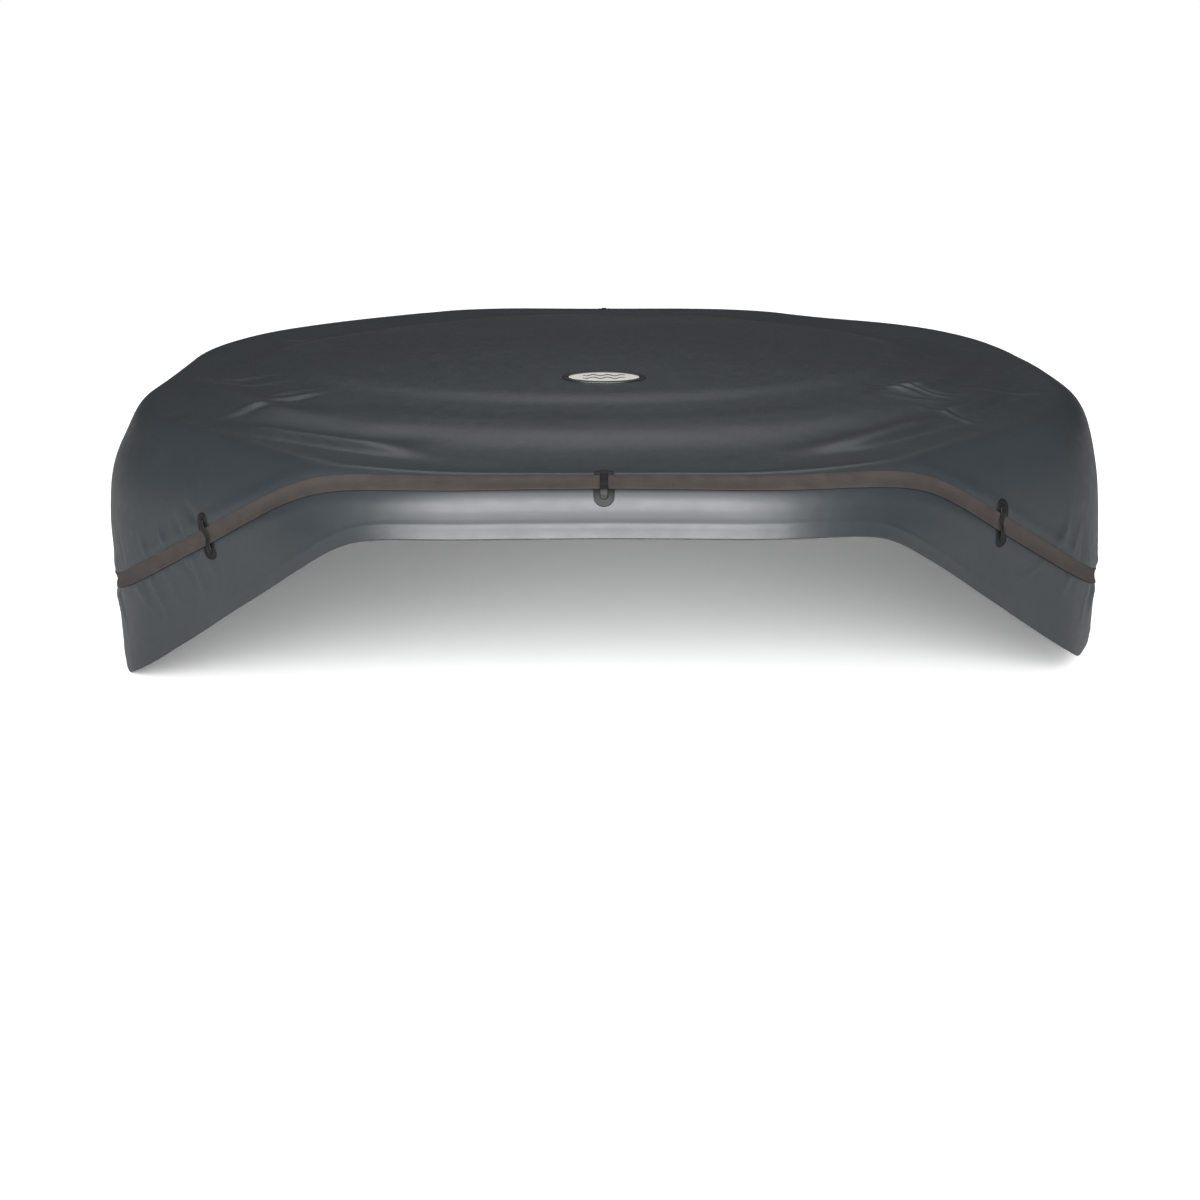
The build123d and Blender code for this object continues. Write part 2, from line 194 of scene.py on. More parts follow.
WALL_END = SHOULDER_RUN + EDGE_Z - SHOULDER_Z
HEM_RUN = smoothed(run_to(hem_height, WALL_END), 6)
BELT_RUN = smoothed(run_to(belt_height, WALL_END), 14)
WALL_FOOT = base(TURNS, WALL_END)[0][:, :2]
GIRTH = np.concatenate([[0], np.cumsum(np.linalg.norm(np.diff(WALL_FOOT, axis=0), axis=1))])
GIRTH -= GIRTH[len(GIRTH) // 2]
FULL_GIRTH = float(GIRTH[-1] - GIRTH[0])


def wrap(turn):
    return (np.asarray(turn, float) + math.pi) % (2 * math.pi) - math.pi


def hem_run(turn):
    return np.interp(wrap(turn), TURNS, HEM_RUN)


def belt_run(turn):
    return np.interp(wrap(turn), TURNS, BELT_RUN)


def girth_of(turn):
    return np.interp(wrap(turn), TURNS, GIRTH)


LOOP_TURN = math.radians(135.0)


def turn_of(girth):
    return np.interp((girth - GIRTH[0]) % FULL_GIRTH + GIRTH[0], GIRTH, TURNS)


# the buckle's frame: U down the belt, V across it, W out from the skirt
BUCKLE_OUT = np.array((math.sin(LOOP_TURN), -math.cos(LOOP_TURN), 0.0))
LOOP_X = APOTHEM * math.sin(LOOP_TURN)
BELT_FALL = (BELT_TOP - BELT_LOW) / (BELT_RIGHT[1] - BELT_RIGHT[0])
BUCKLE_Z = BELT_TOP - BELT_FALL * (LOOP_X - BELT_RIGHT[0])
BUCKLE_U = np.array((-math.cos(LOOP_TURN), -math.sin(LOOP_TURN), -BELT_FALL * math.sqrt(0.5)))
BUCKLE_U /= np.linalg.norm(BUCKLE_U)
BUCKLE_V = np.cross(BUCKLE_OUT, BUCKLE_U)
BUCKLE_RUN = math.hypot(BUCKLE_U[0], BUCKLE_U[1])
BUCKLE_MID = 0.100
BUCKLE_GIRTH = float(girth_of(LOOP_TURN)) - BUCKLE_MID * BUCKLE_RUN


def run_of_height(z):
    """The run down the smooth skin at a height on the shoulder or wall."""
    runs = np.linspace(0.0, WALL_END, 400)
    heights = base(0.0, runs)[0][:, 2]
    return np.interp(-np.asarray(z, float), -heights, runs)


def on_buckle_line():
    """The belt's run, made to follow the buckle's own straight line on that side."""
    past = GIRTH - float(girth_of(LOOP_TURN))
    target = run_of_height(BUCKLE_Z - past * BUCKLE_U[2] / BUCKLE_RUN)
    near = smooth_step(past, -0.230, 0.030) * (1 - smooth_step(past, 0.070, 0.040))
    return BELT_RUN + near * (target - BELT_RUN)


BELT_RUN = on_buckle_line()


# ---- folds ----
def along_path(x, y, path):
    """Distance to a fold line (negative on its left) and the share of its length."""
    path = np.asarray(path, float)
    legs = np.linalg.norm(np.diff(path, axis=0), axis=1)
    start = np.concatenate([[0], np.cumsum(legs)])
    best = np.full(np.shape(x), 9.0)
    side = np.zeros(np.shape(x))
    share = np.zeros(np.shape(x))
    for a, b, s0, leg in zip(path[:-1], path[1:], start[:-1], legs):
        d = (b - a) / leg
        t = np.clip((x - a[0]) * d[0] + (y - a[1]) * d[1], 0, leg)
        dx, dy = x - a[0] - t * d[0], y - a[1] - t * d[1]
        dist = np.hypot(dx, dy)
        closer = dist < best
        best = np.where(closer, dist, best)
        side = np.where(closer, np.sign(dx * d[1] - dy * d[0]), side)
        share = np.where(closer, (s0 + t) / start[-1], share)
    return best * np.where(side == 0, 1, side), share


def fold(x, y, path, height, width, fade=0.25, skew=0.0):
    """A rounded ridge or valley along a line, fading in and out at its ends. skew steepens the
    side of the line to its right and eases the other."""
    dist, share = along_path(x, y, path)
    span = width * (1 - skew * np.tanh(dist / width))
    ends = np.clip(np.minimum(share, 1 - share) / fade, 0, 1)
    ends = ends * ends * (3 - 2 * ends)
    crease = np.exp(-((dist / span) ** 2)) - 0.75 * np.exp(-(((dist + 1.7 * width) / width) ** 2))
    return 1.5 * height * ends * crease


# Folds on the crown: path in X, Y, then height, width, fade and skew
CROWN_FOLDS = (
    ([(-0.80, -0.58), (-0.68, -0.67), (-0.57, -0.73), (-0.44, -0.81), (-0.27, -0.91)],
     -0.0070, 0.026, 0.30, 0.3),
    ([(-0.72, -0.55), (-0.58, -0.67), (-0.44, -0.75), (-0.25, -0.80)], 0.0045, 0.034, 0.35, 0.0),
    ([(0.30, -0.88), (0.48, -0.78), (0.60, -0.66), (0.72, -0.55)], -0.0055, 0.030, 0.35, -0.3),
    ([(0.34, -0.80), (0.50, -0.68), (0.64, -0.54), (0.80, -0.36)], 0.0045, 0.036, 0.35, 0.0),
    ([(-0.45, -0.56), (-0.62, -0.42), (-0.74, -0.24), (-0.84, -0.04)], -0.0050, 0.040, 0.35, 0.0),
    ([(0.50, -0.52), (0.66, -0.36), (0.78, -0.18), (0.88, 0.02)], -0.0040, 0.036, 0.35, 0.0),
    ([(0.52, -0.40), (0.68, -0.26), (0.84, -0.10), (0.95, 0.06)], 0.0030, 0.018, 0.30, 0.0),
    ([(0.62, -0.58), (0.76, -0.44), (0.88, -0.28)], -0.0040, 0.022, 0.35, 0.0),
    ([(-0.30, 0.62), (-0.10, 0.66), (0.16, 0.64), (0.34, 0.57)], 0.0040, 0.030, 0.35, 0.0),
    ([(-0.55, 0.70), (-0.30, 0.82), (0.02, 0.85), (0.30, 0.82), (0.55, 0.70)],
     -0.0050, 0.034, 0.30, 0.0),
    ([(0.60, 0.30), (0.66, 0.10), (0.66, -0.06)], 0.0030, 0.040, 0.40, 0.0),
    ([(-0.62, 0.34), (-0.68, 0.16), (-0.70, -0.02)], 0.0030, 0.040, 0.40, 0.0),
)


def corner_pulls():
    """Short pulls that run out from the bladder's edge towards the cover's corners."""
    rng = np.random.default_rng(11)
    pulls = []
    for corner in (-157.5, -112.5, -67.5, 67.5, 112.5, 157.5):
        for _ in range(5):
            turn = math.radians(corner + rng.uniform(-15, 15))
            inner, length = rng.uniform(0.62, 0.76), rng.uniform(0.12, 0.26)
            drift = math.radians(rng.uniform(-7, 7))
            path = [
                ((inner + length * k) * math.sin(turn + drift * k),
                 -(inner + length * k) * math.cos(turn + drift * k))
                for k in (0, 0.5, 1)
            ]
            height = rng.uniform(0.0010, 0.0024)
            pulls.append((path, height, rng.uniform(0.009, 0.017), 0.45, rng.uniform(-0.3, 0.3)))
    return tuple(pulls)


CROWN_FOLDS += corner_pulls()

# Steps in the front slope: distance beyond the bladder's edge, half width and rise
FRONT_STEPS = (
    (-0.030, 0.034, -0.0060), (0.080, 0.040, 0.0036),
    (0.205, 0.060, -0.0100), (0.325, 0.036, 0.0045),
)


EDGE_SHARPNESS = 10.0     # how tightly the bladder's edge turns at its corners


def crown_relief(x, y, room):
    """The bladder's soft edge under the skin, the hollow round it and the crown's folds. room is
    how far the skin may sink there before it meets the liner."""
    diagonal = math.sqrt(0.5)
    sides = (-y - 0.555, (-x - y) * diagonal - 0.648, (x - y) * diagonal - 0.602)
    backs = (y - 0.62, (-x + y) * diagonal - 0.68, (x + y) * diagonal - 0.68)
    flanks = (x - 0.78, -x - 0.80)
    total = sum(np.exp(EDGE_SHARPNESS * side) for side in sides + backs + flanks)
    beyond = np.log(total) / EDGE_SHARPNESS
    front = smooth_step(-y, 0.0, 0.22)
    relief = (1 - front) * -0.0150 * smooth_step(beyond, 0.058, 0.060)
    for at, half, rise in FRONT_STEPS:
        relief = relief + front * rise * smooth_step(beyond, at, half)
    relief = relief + (1 - front) * -0.0045 * smooth_step(beyond, 0.16, 0.06)
    folds = sum(fold(x, y, *line) for line in CROWN_FOLDS)
    relief = relief + np.minimum(folds, 0)
    relief = -room * np.tanh(-np.minimum(relief, 0) / room) + np.maximum(relief, 0)
    relief = relief + np.maximum(folds, 0)
    relief += 0.0010 * np.sin(5.1 * x + 1.3) * np.cos(4.3 * y - 0.4)
    relief += 0.0006 * np.sin(13.0 * x - 6.0 * y + 0.6) * np.cos(9.0 * y + 5.0 * x + 2.0)
    return relief


def wrinkle_fans():
    """Small pulls in the skin across the belt, in fans where the belt bends round a flap.
    Each is (girth, above the belt, girth, above the belt, height, width)."""
    rng = np.random.default_rng(7)
    fans = []
    for centre, spread, count, strength in (
        (-57.0, 13.0, 17, 1.0), (62.0, 9.0, 14, 0.9),
        (-122.0, 12.0, 14, 0.9), (112.0, 11.0, 13, 0.9),
    ):
        for index in range(count):
            turn = math.radians(centre + spread * (2 * (index + 0.5) / count - 1))
            turn += math.radians(rng.uniform(-0.5, 0.5))
            lean = belt_angle(turn) + rng.uniform(-0.22, 0.22)
            above = rng.random() < 0.55
            start = 0.016 if above else -0.016
            length = rng.uniform(0.05, 0.12) if above else -rng.uniform(0.06, 0.14)
            foot = float(girth_of(turn))
            fans.append((
                foot - start * math.sin(lean), start,
                foot - (start + length) * math.sin(lean) * 1.2, start + length * math.cos(lean),
                strength * rng.uniform(0.0016, 0.0034) * rng.choice((-1, 1), p=(0.4, 0.6)),
                rng.uniform(0.0055, 0.0095),
            ))
    return fans


def belt_angle(turn):
    """How steeply the belt climbs on the skin, as the girth grows."""
    step = 0.01
    climb = -(belt_run(turn + step) - belt_run(turn - step))
    return float(np.arctan2(climb, girth_of(turn + step) - girth_of(turn - step)))


FANS = wrinkle_fans()


def skirt_relief(turn, down):
    """How the belt draws the skirt in, the pulls across it, and the hem's slow waves."""
    above = belt_run(turn) - down
    to_hem = hem_run(turn) - down
    girth = girth_of(turn)
    level = 1 - bump(np.abs(wrap(turn)) % math.pi, 0.0, 0.42)
    relief = -0.0040 * bump(above, 0.0, 0.013) + 0.0022 * bump(np.abs(above), 0.032, 0.016)
    for g0, a0, g1, a1, height, width in FANS:
        near = (np.abs(girth - (g0 + g1) / 2) < 0.14) & (np.abs(above) < 0.20)
        if near.any():
            x, y = girth[near], above[near]
            dist, share = along_path(x, y, [(g0, a0), (g1, a1)])
            ends = np.clip(share * 9, 0, 1) * np.clip((1 - share) * 1.8, 0, 1)
            relief[near] += height * ends * np.exp(-((dist / width) ** 2))
    wave = np.sin(girth * 9.2 + 0.7) + 0.6 * np.sin(girth * 17.0 + 2.1)
    wave = wave + 0.35 * np.sin(girth * 31.0)
    hang = np.clip(1 - to_hem / 0.20, 0, 1) ** 1.5 * np.clip(above / -0.05, 0, 1)
    relief = relief + 0.0030 * wave * hang * level
    relief = relief + 0.0014 * np.sin(girth * 6.0 + 1.0) * np.sin(down * 14.0) * (above > 0)
    away = np.hypot((girth - BUCKLE_GIRTH) / 0.085, above / 0.050)
    relief = relief * smooth_step(away, 1.15, 0.35)
    weld = bump(to_hem, 0.024, 0.0045)
    tuck = np.clip(1 - to_hem / 0.024, 0, 1)
    return relief + 0.0008 * weld - 0.0012 * tuck


# Swells and dips of the crown's rim: angle from the front, half angle and height
RIM_SHAPE = ((-130.0, 18.0, 0.010), (127.0, 14.0, 0.012), (103.0, 9.0, -0.007),
             (180.0, 22.0, -0.004), (-180.0, 22.0, -0.004))


def shoulder_shape(turn, down):
    """The right shoulder is drawn up to a firmer corner, and the left one slumps."""
    angle = np.degrees(wrap(turn))
    rim = sum(height * bump(angle, at, half) for at, half, height in RIM_SHAPE)
    right = bump(angle, 88.0, 26.0) * 0.014 * bump(down, 0.03, 0.09)
    left = bump(angle, -82.0, 26.0) * -0.012 * bump(down, 0.075, 0.065)
    flank = smooth_step(np.abs(angle), 50.0, 14.0) * (1 - smooth_step(np.abs(angle), 112.0, 10.0))
    full = 0.019 * smooth_step(down, 0.19, 0.11)
    full = full + 0.011 * (angle > 0) * smooth_step(down, 0.33, 0.20)
    ends = 1 - smooth_step(np.abs(np.abs(angle) - 90.0), 66.0, 16.0)
    lip = 0.0048 * bump(down, 0.046, 0.024) + 0.016 * smooth_step(down, 0.100, 0.048)
    lip = lip * (1 - ends)
    return right + left + flank * full + lip + rim * bump(down, -0.04, 0.10)


def surface(turn, down, lift=0.0):
    """Point on the folded skin, and lift above it along the skin's smooth normal."""
    turn, down = np.broadcast_arrays(np.asarray(turn, float), np.asarray(down, float))
    point, normal = base(turn, down)
    on_crown = 1 - smooth_step(down, 0.0, 0.05)
    room = np.maximum(point[..., 2] - SKIN_LOW, 0.001)
    shift = crown_relief(point[..., 0], point[..., 1], room) * on_crown
    shift = shift + skirt_relief(turn, down) * smooth_step(down, -0.005, 0.02)
    shift = shift + shoulder_shape(turn, down)
    return point + normal * (shift + lift)[..., None]


def crown_at(x, y):
    """The turn and run of a place on the crown."""
    turn = np.arctan2(x, -y)
    radius = np.hypot(x, y)
    return turn, (radius / ring_radius(turn, REACH, CORNER_R) - 1) * REACH


# ---- meshes ----
def smooth_shade(obj, angle=None):
    for polygon in obj.data.polygons:
        polygon.use_smooth = True
    if angle is not None:
        obj.data.set_sharp_from_angle(angle=math.radians(angle))


def link(obj):
    bpy.context.scene.collection.objects.link(obj)


def make(name, points, faces, finish, body="cover", replaces=(), uv=None, sharp=None):
    """A closed, smooth-shaded mesh object that rides on a body."""
    mesh = bpy.data.meshes.new(name)
    mesh.from_pydata(np.asarray(points, float).tolist(), [], faces)
    if uv is not None:
        layer = mesh.uv_layers.new(name="UVMap")
        corners = np.empty(len(mesh.loops), dtype=np.int32)
        mesh.loops.foreach_get("vertex_index", corners)
        layer.data.foreach_set("uv", np.asarray(uv, float)[corners].ravel())
    work = bmesh.new()
    work.from_mesh(mesh)
    bmesh.ops.recalc_face_normals(work, faces=work.faces)
    work.to_mesh(mesh)
    work.free()
    obj = bpy.data.objects.new(name, mesh)
    link(obj)
    smooth_shade(obj, sharp)
    mesh.materials.append(finish.material)
    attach(obj, body)
    if replaces:
        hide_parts(*replaces)
    return obj


def grid_faces(rows, cols, loop_rows, loop_cols, offset=0):
    """Quads of a grid whose rows or columns may close on themselves."""
    r = np.arange(rows if loop_rows else rows - 1)
    c = np.arange(cols if loop_cols else cols - 1)
    a, b = np.meshgrid(r, c, indexing="ij")
    a, b = a.ravel(), b.ravel()
    a2, b2 = (a + 1) % rows, (b + 1) % cols
    quads = np.stack([a * cols + b, a * cols + b2, a2 * cols + b2, a2 * cols + b], 1) + offset
    return quads.tolist()


def tube(grid, ring=False, offset=0):
    """Points and faces of a path (first axis) of closed profiles (second axis)."""
    rows, cols, _ = grid.shape
    faces = grid_faces(rows, cols, ring, True, offset)
    if not ring:
        faces.append([offset + i for i in range(cols)])
        faces.append([offset + (rows - 1) * cols + i for i in reversed(range(cols))])
    return grid.reshape(-1, 3), faces


def tubes(grids, ring=False):
    points, faces, count = [], [], 0
    for grid in grids:
        p, f = tube(grid, ring, count)
        points.append(p)
        faces += f
        count += len(p)
    return np.concatenate(points), faces


def disc(grid):
    """Points and faces of rings (first axis) round a closed form, capped at both ends."""
    rows, cols, _ = grid.shape
    points = grid.reshape(-1, 3)
    first, last = grid[0].mean(0), grid[-1].mean(0)
    faces = grid_faces(rows, cols, False, True)
    tip, tail = rows * cols, rows * cols + 1
    faces += [[tip, (i + 1) % cols, i] for i in range(cols)]
    foot = (rows - 1) * cols
    faces += [[tail, foot + i, foot + (i + 1) % cols] for i in range(cols)]
    return np.concatenate([points, [first, last]]), faces


def repeat(template, quads, places):
    """Many copies of a small closed form, at places."""
    points = (places[:, None, :] + template[None]).reshape(-1, 3)
    faces = [[i * len(template) + k for k in quad] for i in range(len(places)) for quad in quads]
    return points, faces


# ---- materials ----
class Finish:
    """A procedural material: mottled colour, uneven roughness and a chain of bumps."""

    def __init__(self, name, colour, rough, metallic=0.0, coords="Object"):
        self.material = bpy.data.materials.new(name)
        self.material.use_nodes = True
        self.tree = self.material.node_tree
        self.shader = self.tree.nodes["Principled BSDF"]
        self.coords = self.add("ShaderNodeTexCoord").outputs[coords]
        self.colour = colour
        self.normal = None
        self.shader.inputs["Metallic"].default_value = metallic
        self.shader.inputs["Base Color"].default_value = (*colour, 1)
        self.shader.inputs["Roughness"].default_value = rough
        self.rough = rough
        self.material.diffuse_color = (*colour, 1)

    def add(self, kind, **values):
        node = self.tree.nodes.new(kind)
        for key, value in values.items():
            setattr(node, key, value)
        return node

    def wire(self, a, b):
        self.tree.links.new(a, b)

    def mapped(self, scale):
        node = self.add("ShaderNodeMapping")
        node.inputs["Scale"].default_value = scale
        self.wire(self.coords, node.inputs["Vector"])
        return node.outputs["Vector"]

    def noise(self, scale, detail=3.0, rough=0.55, stretch=(1, 1, 1)):
        node = self.add("ShaderNodeTexNoise")
        node.inputs["Scale"].default_value = scale
        node.inputs["Detail"].default_value = detail
        node.inputs["Roughness"].default_value = rough
        self.wire(self.mapped(stretch), node.inputs["Vector"])
        return node.outputs["Fac"]

    def wave(self, pitch, direction):
        node = self.add("ShaderNodeTexWave", wave_type="BANDS", bands_direction=direction)
        node.inputs["Scale"].default_value = 2 * math.pi / 20 / pitch
        node.inputs["Distortion"].default_value = 0.0
        self.wire(self.coords, node.inputs["Vector"])
        return node.outputs["Fac"]

    def cells(self, size):
        node = self.add("ShaderNodeTexVoronoi", feature="F1")
        node.inputs["Scale"].default_value = 1 / size
        self.wire(self.coords, node.inputs["Vector"])
        return node.outputs["Distance"]

    def ranged(self, value, low, high, to_low, to_high):
        node = self.add("ShaderNodeMapRange")
        for index, number in enumerate((low, high, to_low, to_high)):
            node.inputs[index + 1].default_value = number
        self.wire(value, node.inputs[0])
        return node.outputs[0]

    def times(self, a, b, operation="MULTIPLY"):
        node = self.add("ShaderNodeMath", operation=operation)
        self.wire(a, node.inputs[0])
        self.wire(b, node.inputs[1])
        return node.outputs[0]

    def mottle(self, factor, dark, light):
        """Base colour that runs between two shades of the finish's own colour."""
        node = self.add("ShaderNodeMix", data_type="RGBA")
        shades = [[c * k for c in self.colour] for k in (dark, light)]
        for socket, shade in zip((node.inputs[6], node.inputs[7]), shades):
            socket.default_value = (*shade, 1)
        self.wire(factor, node.inputs[0])
        self.wire(node.outputs[2], self.shader.inputs["Base Color"])
        return self

    def uneven(self, factor, spread):
        low, high = self.rough - spread, self.rough + spread
        self.wire(self.ranged(factor, 0.3, 0.7, low, high), self.shader.inputs["Roughness"])
        return self

    def bump(self, height, depth, strength=1.0):
        node = self.add("ShaderNodeBump")
        node.inputs["Strength"].default_value = strength
        node.inputs["Distance"].default_value = depth
        self.wire(height, node.inputs["Height"])
        if self.normal is not None:
            self.wire(self.normal, node.inputs["Normal"])
        self.normal = node.outputs["Normal"]
        self.wire(self.normal, self.shader.inputs["Normal"])
        return self

    def set(self, **values):
        for key, value in values.items():
            self.shader.inputs[key.replace("_", " ")].default_value = value
        return self


def vinyl(name, colour, rough, dent=0.0010):
    """Coated vinyl with a fine leather grain and slow unevenness."""
    finish = Finish(name, colour, rough)
    finish.mottle(finish.noise(5.0, 4), 0.90, 1.12)
    finish.uneven(finish.noise(38.0, 4), 0.035)
    if dent:
        finish.bump(finish.noise(11.0, 3, 0.5), dent)
    finish.bump(finish.cells(0.0016), 0.00007, 0.8)
    finish.bump(finish.noise(1900.0, 2), 0.00003, 0.7)
    return finish


def webbing(name, colour):
    """Ribbed woven strap, in metres along (U) and across (V)."""
    finish = Finish(name, colour, 0.62, coords="UV")
    rib = finish.wave(0.0017, "X")
    yarn = finish.wave(0.0021, "Y")
    weave = finish.times(rib, finish.ranged(yarn, 0, 1, 0.55, 1.0))
    soil = finish.noise(30.0, 3)
    finish.mottle(finish.times(finish.ranged(weave, 0, 1, 0.35, 1.0), soil), 0.50, 1.5)
    finish.uneven(soil, 0.06)
    finish.bump(weave, 0.00035, 0.9)
    finish.set(Specular_IOR_Level=0.25)
    return finish


def plastic(name, colour, rough, grain=0.00004):
    finish = Finish(name, colour, rough)
    finish.mottle(finish.noise(60.0, 3), 0.92, 1.10)
    finish.uneven(finish.noise(90.0, 3), 0.05)
    finish.bump(finish.noise(2600.0, 2), grain, 0.6)
    return finish


def metal(name, colour, rough):
    finish = Finish(name, colour, rough, metallic=1.0)
    finish.mottle(finish.noise(220.0, 3), 0.85, 1.08)
    finish.uneven(finish.noise(400.0, 3, 0.6, (1, 6, 6)), 0.07)
    finish.bump(finish.noise(900.0, 2, 0.6, (1, 8, 8)), 0.00003, 0.5)
    return finish


VINYL = vinyl("cover_vinyl", (0.016, 0.0195, 0.0225), 0.38)
HEM = vinyl("hem_vinyl", (0.026, 0.031, 0.035), 0.44, 0.0)
TAPE = vinyl("seam_tape_vinyl", (0.035, 0.040, 0.045), 0.36, 0.0)
BLADDER = vinyl("bladder_vinyl", (0.20, 0.24, 0.27), 0.34, 0.0004)
LOOP = vinyl("loop_vinyl", (0.006, 0.006, 0.006), 0.42, 0.0)
LOOP.set(Specular_IOR_Level=0.20)
BELT = webbing("belt_webbing", (0.034, 0.028, 0.025))
BADGE = plastic("badge_black", (0.008, 0.008, 0.009), 0.30)
PLATE = plastic("badge_plate", (0.36, 0.36, 0.33), 0.45)
BUCKLE = plastic("buckle_plastic", (0.012, 0.012, 0.013), 0.40)
VALVE = plastic("valve_plastic", (0.24, 0.25, 0.26), 0.38)
RUBBER = plastic("valve_rubber", (0.020, 0.020, 0.020), 0.70, 0.00008)
ZIP_METAL = metal("zip_metal", (0.50, 0.50, 0.49), 0.30)
TEETH = plastic("zip_teeth", (0.018, 0.018, 0.019), 0.38)
WOVEN = webbing("zip_tape", (0.022, 0.023, 0.025))

FOIL = Finish("liner_foil", (0.60, 0.61, 0.62), 0.34, metallic=0.75)
FOIL.mottle(FOIL.noise(7.0, 4), 0.84, 1.06)
FOIL.uneven(FOIL.noise(60.0, 4), 0.08)
FOIL.bump(FOIL.times(FOIL.wave(0.0032, "X"), FOIL.wave(0.0032, "Y")), 0.00018, 0.7)
FOIL.bump(FOIL.noise(24.0, 5, 0.62), 0.0012, 0.6)


# ---- skin ----
def columns(count):
    """Turns round the cover, closer together where the wrinkles fan out."""
    fine = np.linspace(-math.pi, math.pi, 4001)
    angle = np.degrees(fine)
    weight = np.ones_like(fine)
    for centre, half in ((-57, 16), (62, 13), (-122, 15), (112, 14)):
        weight += 1.3 * (1 - smooth_step(np.abs(angle - centre), half, 3.0))
    total = np.concatenate([[0], np.cumsum((weight[1:] + weight[:-1]) / 2)])
    return np.interp(np.arange(count) / count, total / total[-1], fine)


def skin_rows(turns, dome, wall, lift, start=0.012):
    shares = start + (1 - start) * np.linspace(0, 1, dome) ** 0.72
    rows = [surface(turns, np.full_like(turns, (share - 1) * REACH), lift) for share in shares]
    run = hem_run(turns)
    for share in np.linspace(0, 1, wall + 1)[1:]:
        rows.append(surface(turns, run * share, lift))
    return rows


def cover_skin():
    turns = columns(760)
    outer = skin_rows(turns, 60, 84, 0.0)
    inner = skin_rows(turns, 30, 42, -SKIN)
    edge = surface(turns, hem_run(turns) + 0.0007, -SKIN / 2)
    edge[:, 2] = np.maximum(edge[:, 2], 0.0002)
    grid = np.stack(outer + [edge] + inner[::-1])
    grid[..., 2] = np.maximum(grid[..., 2], 0.0002)
    points, faces = disc(grid)
    names = ["crown_panel"] + [f"skirt_{side}" for side in SIDES]
    return make("cover_skin", points, faces, VINYL, replaces=names)


def hem_edge():
    """The facing turned up inside the hem."""
    turns = columns(640)
    run = hem_run(turns)
    profile = (
        (0.0007, -0.0030), (0.0012, -0.0027), (0.0240, -0.0027), (0.0248, -0.0031),
        (0.0248, -0.0036), (0.0235, -0.0040), (0.0120, -0.0042), (0.0020, -0.0040),
        (0.0007, -0.0036),
    )
    grid = np.stack([surface(turns, run - above, lift) for above, lift in profile], 1)
    grid[..., 2] = np.maximum(grid[..., 2], 0.0004)
    points, faces = tube(grid, ring=True)
    return make("hem_edge", points, faces, HEM, replaces=["hem_facing"])


def corner_seam_strips():
    """Tapes welded over the corner seams, on the inside of the skirt."""
    grids = []
    top = float(run_of_height(REST_Z - 0.003))
    for index in range(8):
        middle = float(girth_of(math.radians(22.5 + 45 * index - 180)))
        foot = float(hem_run(turn_of(middle))) - 0.028
        down = np.linspace(top, foot, 70)
        across = ((-0.011, -0.0030), (-0.006, -0.0027), (0.006, -0.0027), (0.011, -0.0030),
                  (0.011, -0.0034), (0.006, -0.0036), (-0.006, -0.0036), (-0.011, -0.0034))
        grids.append(np.stack([
            surface(turn_of(np.full_like(down, middle + g)), down, lift) for g, lift in across
        ], 1))
    points, faces = tubes(grids)
    return make("corner_seam_strips", points, faces, TAPE,
                replaces=["corner_seam_tapes"])


# ---- belt, loops, badge ----
STRAP_PROFILE = (
    (-1.0, 0.5), (-0.985, 0.86), (-0.93, 0.99), (-0.5, 1.0), (0.0, 1.0), (0.5, 1.0), (0.93, 0.99),
    (0.985, 0.86), (1.0, 0.5), (0.985, 0.14), (0.93, 0.01), (0.5, 0.0), (0.0, 0.0), (-0.5, 0.0),
    (-0.93, 0.01), (-0.985, 0.14),
)


def belt():
    """The belt round the skirt, open where the buckle is."""
    middle = float(girth_of(LOOP_TURN))
    start = middle - 0.0620 * BUCKLE_RUN
    stop = middle - 0.1495 * BUCKLE_RUN + FULL_GIRTH
    along = np.linspace(start, stop, 1500)
    turns = turn_of(along)
    run = belt_run(turns)
    climb = np.gradient(np.unwrap(run), along)
    lean = np.arctan(-climb)
    grid, uv = [], []
    for across, out in STRAP_PROFILE:
        w = across * BELT_WIDTH / 2
        at = turn_of(along + w * np.sin(lean))
        grid.append(surface(at, run + w * np.cos(lean), 0.0010 + 0.0016 * out))
        length = np.cumsum(np.hypot(1, climb)) * (along[1] - along[0])
        uv.append(np.stack([length, np.full_like(along, w)], 1))
    points, faces = tube(np.stack(grid, 1))
    uv = np.stack(uv, 1).reshape(-1, 2)
    return make("belt_webbing", points, faces, BELT,
                replaces=["belt"], uv=uv)


def from_buckle(u, v, w):
    """Points of the buckle's own frame."""
    origin = BUCKLE_OUT * APOTHEM + np.array((0, 0, BUCKLE_Z))
    return origin + u[..., None] * BUCKLE_U + v[..., None] * BUCKLE_V + w[..., None] * BUCKLE_OUT


def smooth_route(points, count):
    """An even run of points on a smooth line through a route's corners."""
    points = np.asarray(points, float)
    for _ in range(3):
        near = 0.75 * points[:-1] + 0.25 * points[1:]
        far = 0.25 * points[:-1] + 0.75 * points[1:]
        points = np.concatenate([points[:1], np.stack([near, far], 1).reshape(-1, 2), points[-1:]])
    length = np.concatenate([[0], np.cumsum(np.linalg.norm(np.diff(points, axis=0), axis=1))])
    at = np.linspace(0, length[-1], count)
    return np.stack([np.interp(at, length, points[:, i]) for i in (0, 1)], 1), at


STRAP_HALF, STRAP_THICK = 0.0135, 0.0015


